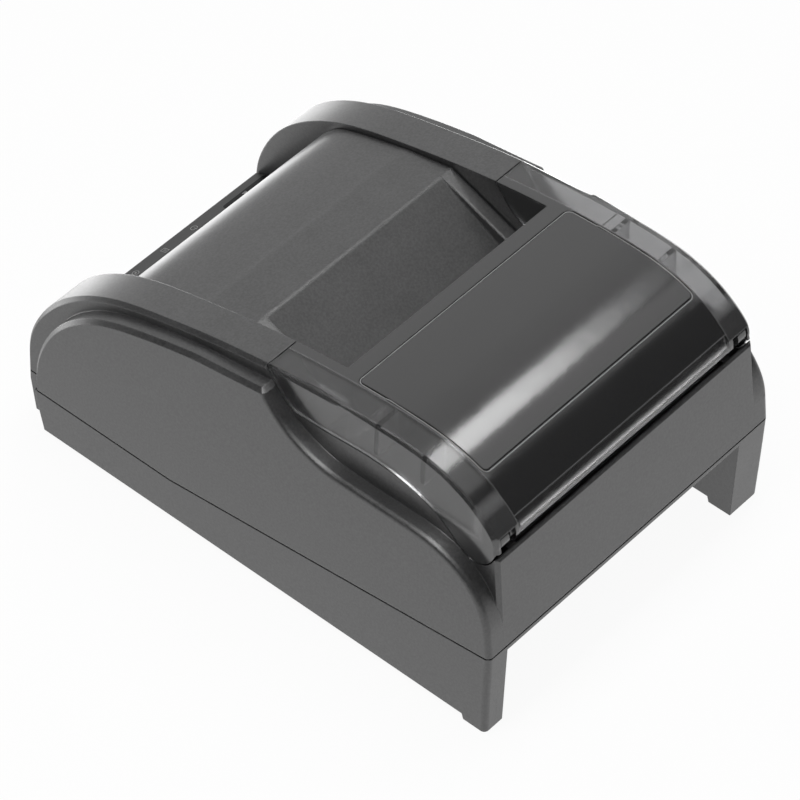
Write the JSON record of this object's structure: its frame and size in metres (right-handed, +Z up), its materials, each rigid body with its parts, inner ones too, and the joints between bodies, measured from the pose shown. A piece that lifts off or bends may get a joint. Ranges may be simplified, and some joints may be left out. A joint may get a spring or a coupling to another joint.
{
  "type": "thermal receipt printer",
  "caption": "Desktop receipt printer: arched dark case with raised cheeks, smoky hinged lid over the paper bay, ramped cover, front strip with feed button.",
  "frame": {"origin": "on the floor plane, under the middle of the outline box", "axes": "+X across the width, +Y towards the rear with the sockets, +Z up"},
  "size_m": [0.136, 0.2, 0.0969],
  "materials": {
    "case_plastic": "fine satin texture",
    "lid_plastic": "smoky satin",
    "cover_plastic": "semi-gloss",
    "strip_plastic": "satin",
    "button_plastic": "satin",
    "pipe_clear": "clear",
    "cradle_plastic": "fine texture",
    "board_green": "solder mask",
    "led_white": "gloss",
    "part_black": "moulded",
    "part_ivory": "moulded",
    "gear_white": "moulded",
    "frame_steel": "zinc plated",
    "sheet_steel": "bright",
    "shaft_steel": "ground",
    "spring_steel": "drawn",
    "screw_steel": "plated",
    "sink_alu": "matt",
    "head_ceramic": "glazed",
    "ribbon_film": "film",
    "roller_rubber": "ground",
    "foot_rubber": "matt",
    "can_aluminium": "satin",
    "usb_steel": "plated"
  },
  "bodies": {
    "base": {"base_shell": "case_plastic", "upper_shell": "case_plastic", "mech_cover": "cover_plastic", "control_strip": "strip_plastic", "light_pipes": "pipe_clear", "panel_board": "board_green", "panel_leds": "led_white", "feed_switch": "part_black", "panel_screws": "screw_steel", "mech_frame": "frame_steel", "pivot_pins": "shaft_steel", "head_ribbon": "ribbon_film", "tear_bar": "sheet_steel", "gear_post": "shaft_steel", "stepper_motor": "frame_steel", "roll_cradle": "cradle_plastic", "cradle_screws": "screw_steel", "paper_sensor": "part_black", "main_board": "board_green", "power_jack": "part_black", "usb_socket": "usb_steel", "drawer_socket": "part_ivory", "switch_housing": "part_black", "capacitors": "can_aluminium", "main_chip": "part_black", "buzzer": "part_black", "board_connectors": "part_ivory", "case_screws": "screw_steel", "frame_screws": "screw_steel", "board_screws": "screw_steel", "rubber_feet": "foot_rubber", "hinge_pins": "shaft_steel"},
    "lid": {"lid": "lid_plastic", "platen_holder": "sheet_steel", "holder_screws": "screw_steel", "platen_bushings": "part_ivory"},
    "platen": {"platen_shaft": "shaft_steel", "platen_roller": "roller_rubber", "platen_gear": "gear_white"},
    "idler": {"idler_gear": "gear_white"},
    "motor_rotor": {"motor_shaft": "shaft_steel", "motor_pinion": "gear_white"},
    "head": {"thermal_head": "head_ceramic", "heat_sink": "sink_alu", "head_springs": "spring_steel"},
    "button": {"feed_button": "button_plastic"},
    "plunger": {"switch_plunger": "part_ivory"},
    "rocker": {"power_rocker": "part_black"}
  },
  "joints": [
    {"name": "lid_hinge", "type": "hinge", "parent": "base", "child": "lid", "pos_m": [0, 0.0914, 0.0775], "axis": [-1, 0, 0], "range_deg": [0, 95]},
    {"name": "platen_spin", "type": "hinge", "parent": "lid", "child": "platen", "pos_m": [0, 0.0305, 0.058], "axis": [1, 0, 0], "continuous": true},
    {"name": "idler_spin", "type": "hinge", "parent": "base", "child": "idler", "pos_m": [0, 0.02372, 0.04795], "axis": [1, 0, 0], "continuous": true},
    {"name": "motor_spin", "type": "hinge", "parent": "base", "child": "motor_rotor", "pos_m": [0, 0.00978, 0.04795], "axis": [1, 0, 0], "continuous": true},
    {"name": "head_pivot", "type": "hinge", "parent": "base", "child": "head", "pos_m": [0, 0.0324, 0.03947], "axis": [1, 0, 0], "range_deg": [0, 1.5], "stiffness_Nm_per_rad": 0.6, "springref_deg": -8.59},
    {"name": "feed_press", "type": "slide", "parent": "base", "child": "button", "axis": [0, 0.342, -0.9397], "range_m": [0, 0.0005], "stiffness_N_per_m": 800, "springref_m": -0.0004},
    {"name": "plunger_press", "type": "slide", "parent": "base", "child": "plunger", "axis": [0, 0.342, -0.9397], "range_m": [0, 0.0005]},
    {"name": "power_switch", "type": "hinge", "parent": "base", "child": "rocker", "pos_m": [-0.041, 0.0656, 0.018], "axis": [-1, 0, 0], "range_deg": [0, 12]}
  ],
  "couplings": [
    {"joint": "idler_spin", "follows": "platen_spin", "ratio": -1.5},
    {"joint": "motor_spin", "follows": "platen_spin", "ratio": 4.25},
    {"joint": "plunger_press", "follows": "feed_press", "ratio": 1}
  ]
}
